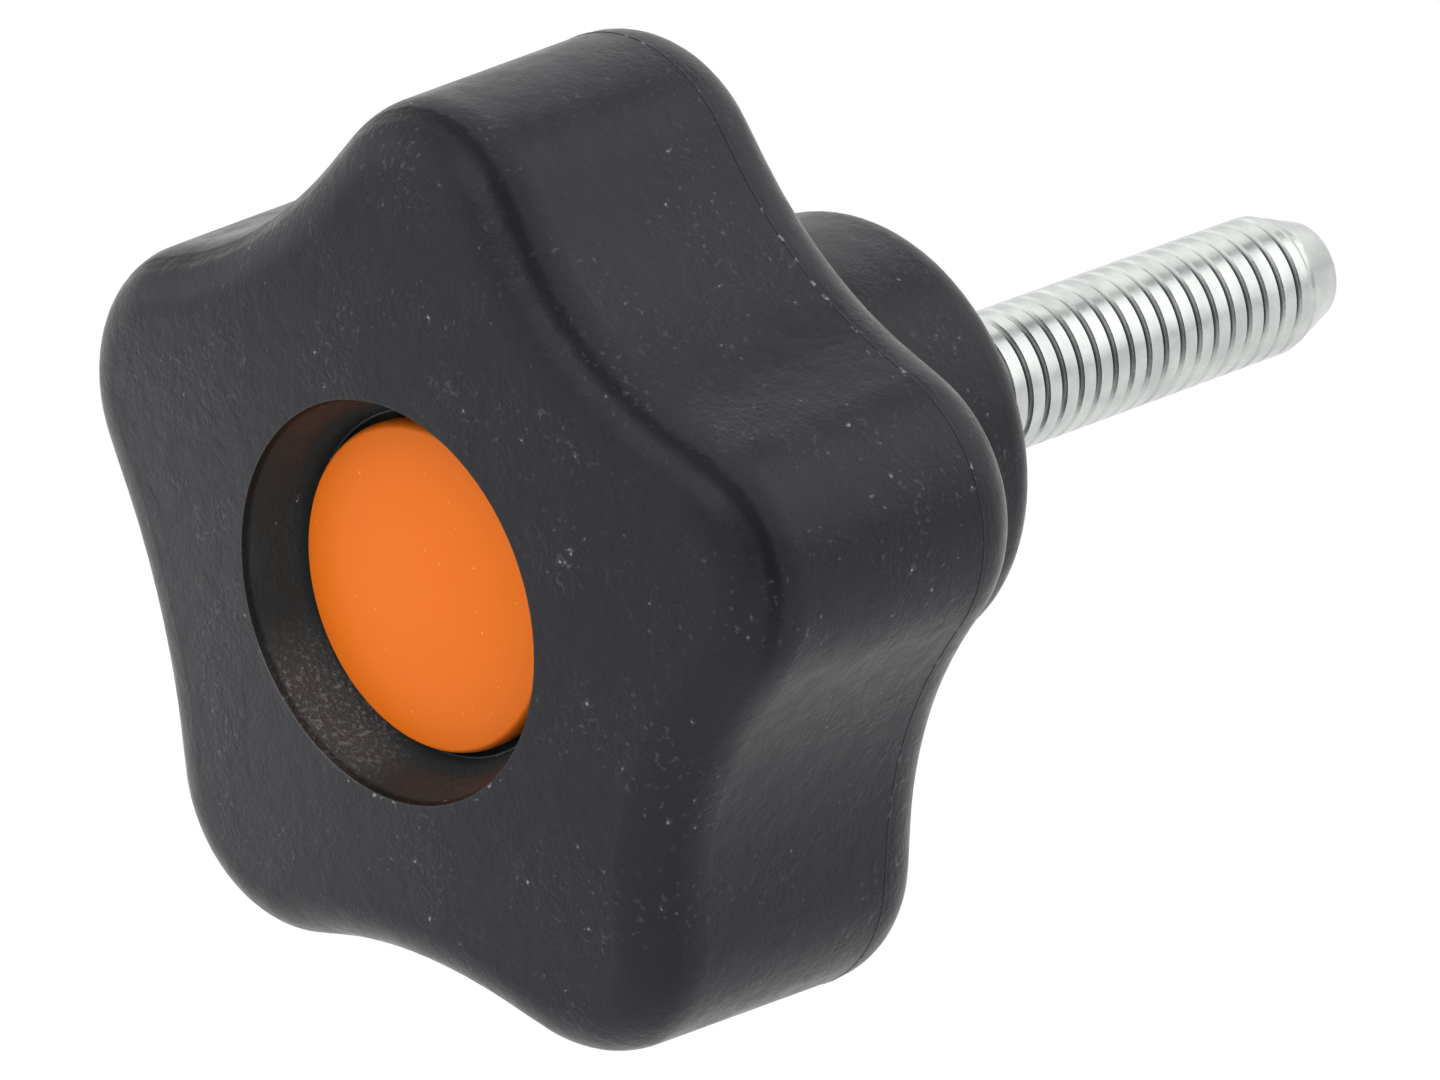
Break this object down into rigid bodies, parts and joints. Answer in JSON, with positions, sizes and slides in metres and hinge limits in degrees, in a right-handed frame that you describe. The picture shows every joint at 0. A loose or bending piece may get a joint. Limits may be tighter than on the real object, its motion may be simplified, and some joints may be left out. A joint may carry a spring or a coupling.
{
  "type": "star knob with threaded stud",
  "caption": "Lobed star knob with a moulded plastic head, a domed end cap pressed into its face and a threaded steel stud for clamping by hand.",
  "frame": {"origin": "middle of the boss's end face, which seats on the clamped work, on the knob's axis", "axes": "+Y along the axis from the boss out through the stud, -Y towards the crowned face and the cap, +Z through the tip of one lobe"},
  "size_m": [0.0386, 0.0523, 0.0374],
  "materials": {
    "body_plastic": "black glass-fibre filled moulding with a fine matte grain",
    "cap_plastic": "orange matte moulding",
    "zinc_plated_steel": "bright zinc plating on a rolled thread"
  },
  "bodies": {
    "root": {"knob_body": "body_plastic", "end_cap": "cap_plastic", "threaded_stud": "zinc_plated_steel"}
  },
  "joints": []
}
